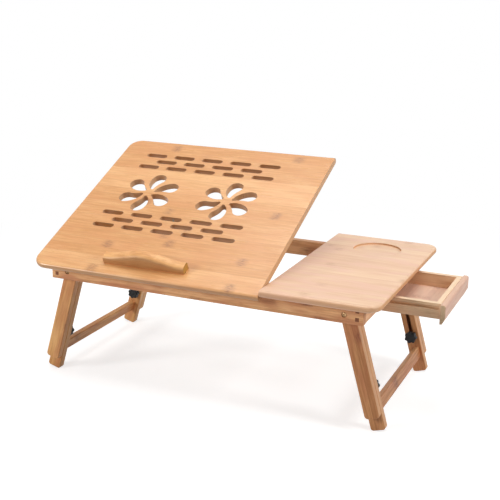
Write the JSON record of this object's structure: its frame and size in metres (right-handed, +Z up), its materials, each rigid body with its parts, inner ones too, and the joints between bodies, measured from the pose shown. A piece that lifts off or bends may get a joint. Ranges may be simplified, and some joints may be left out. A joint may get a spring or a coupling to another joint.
{
  "type": "laptop stand with drawer",
  "caption": "Folding bamboo laptop stand: tilting vented board on a wire prop, narrow fixed board with a cup recess and a side drawer, on splayed telescoping legs.",
  "frame": {"origin": "middle of the overall width and depth, on the floor, with the board tilted and the drawer pulled out as stored", "axes": "+X to the drawer's side, +Y to the back, +Z up"},
  "size_m": [0.6276, 0.3512, 0.3318],
  "materials": {
    "bamboo_top": "satin lacquered bamboo, honey",
    "bamboo_pale": "satin lacquered bamboo, pale",
    "bamboo_frame": "satin lacquered bamboo, brown",
    "bamboo_drawer": "smooth light bamboo",
    "steel": "zinc plated steel",
    "wire_steel": "bright drawn wire",
    "hinge_steel": "plated sheet steel",
    "clip_plastic": "black moulded plastic",
    "knob_plastic": "black moulded plastic, fine satin"
  },
  "bodies": {
    "frame": {"front_rail": "bamboo_frame", "rear_rail": "bamboo_frame", "left_rail": "bamboo_frame", "right_rail_front": "bamboo_frame", "right_rail_rear": "bamboo_frame", "divider_rail": "bamboo_frame", "fixed_top": "bamboo_pale", "runner_front": "bamboo_drawer", "runner_rear": "bamboo_drawer", "rack_left": "bamboo_frame", "rack_right": "bamboo_frame", "top_screws": "steel", "rack_screws": "steel", "pivot_bolts": "steel", "pivot_washers": "steel", "pivot_nuts": "steel", "hinge_left_lower_leaf": "hinge_steel", "hinge_right_lower_leaf": "hinge_steel", "hinge_pins": "hinge_steel", "hinge_lower_screws": "hinge_steel"},
    "tilt_board": {"tilt_top": "bamboo_top", "stopper": "bamboo_top", "stopper_screws": "steel", "hinge_left_upper_leaf": "hinge_steel", "hinge_right_upper_leaf": "hinge_steel", "hinge_upper_screws": "hinge_steel", "clip_left": "clip_plastic", "clip_right": "clip_plastic", "clip_screws": "steel"},
    "prop": {"prop_bracket": "wire_steel"},
    "left_legs": {"left_front_leg": "bamboo_frame", "left_rear_leg": "bamboo_frame", "left_studs": "steel", "left_washers": "steel"},
    "left_feet": {"left_front_foot": "bamboo_frame", "left_rear_foot": "bamboo_frame", "left_stretcher": "bamboo_frame"},
    "left_front_clamp": {"left_front_knob": "knob_plastic"},
    "left_rear_clamp": {"left_rear_knob": "knob_plastic"},
    "right_legs": {"right_front_leg": "bamboo_frame", "right_rear_leg": "bamboo_frame", "right_studs": "steel", "right_washers": "steel"},
    "right_feet": {"right_front_foot": "bamboo_frame", "right_rear_foot": "bamboo_frame", "right_stretcher": "bamboo_frame"},
    "right_front_clamp": {"right_front_knob": "knob_plastic"},
    "right_rear_clamp": {"right_rear_knob": "knob_plastic"},
    "drawer": {"drawer_panel": "bamboo_drawer", "drawer_end_outer": "bamboo_drawer", "drawer_end_inner": "bamboo_drawer", "drawer_side_front": "bamboo_drawer", "drawer_side_rear": "bamboo_drawer", "drawer_bottom": "bamboo_drawer", "drawer_screws": "steel"}
  },
  "joints": [
    {"name": "tilt", "type": "hinge", "parent": "frame", "child": "tilt_board", "pos_m": [-0.11674, -0.15594, 0.1881], "axis": [1, 0, 0], "range_deg": [-24.2, 13.3]},
    {"name": "prop_swing", "type": "hinge", "parent": "tilt_board", "child": "prop", "pos_m": [-0.08374, -0.0264, 0.24138], "axis": [1, 0, 0], "range_deg": [-15.4, 8.6]},
    {"name": "left_fold", "type": "hinge", "parent": "frame", "child": "left_legs", "pos_m": [-0.25441, -0.00594, 0.1755], "axis": [0, -1, 0], "range_deg": [0, 97.5]},
    {"name": "right_fold", "type": "hinge", "parent": "frame", "child": "right_legs", "pos_m": [0.19093, -0.00594, 0.1755], "axis": [0, 1, 0], "range_deg": [0, 97.5]},
    {"name": "left_extend", "type": "slide", "parent": "left_legs", "child": "left_feet", "axis": [0.2756, 0, 0.9613], "range_m": [-0.075, 0]},
    {"name": "right_extend", "type": "slide", "parent": "right_legs", "child": "right_feet", "axis": [-0.2756, 0, 0.9613], "range_m": [-0.075, 0]},
    {"name": "drawer_slide", "type": "slide", "parent": "frame", "child": "drawer", "axis": [1, 0, 0], "range_m": [-0.0872, 0.018]},
    {"name": "left_front_knob_turn", "type": "hinge", "parent": "left_legs", "child": "left_front_clamp", "pos_m": [-0.28735, -0.11254, 0.06063], "axis": [0, 1, 0], "range_deg": [0, 180]},
    {"name": "left_rear_knob_turn", "type": "hinge", "parent": "left_legs", "child": "left_rear_clamp", "pos_m": [-0.28735, 0.10066, 0.06063], "axis": [0, -1, 0], "range_deg": [0, 180]},
    {"name": "right_front_knob_turn", "type": "hinge", "parent": "right_legs", "child": "right_front_clamp", "pos_m": [0.22387, -0.11254, 0.06063], "axis": [0, 1, 0], "range_deg": [0, 180]},
    {"name": "right_rear_knob_turn", "type": "hinge", "parent": "right_legs", "child": "right_rear_clamp", "pos_m": [0.22387, 0.10066, 0.06063], "axis": [0, -1, 0], "range_deg": [0, 180]}
  ],
  "couplings": [
    {"joint": "prop_swing", "follows": "tilt", "ratio": 0.62007}
  ]
}
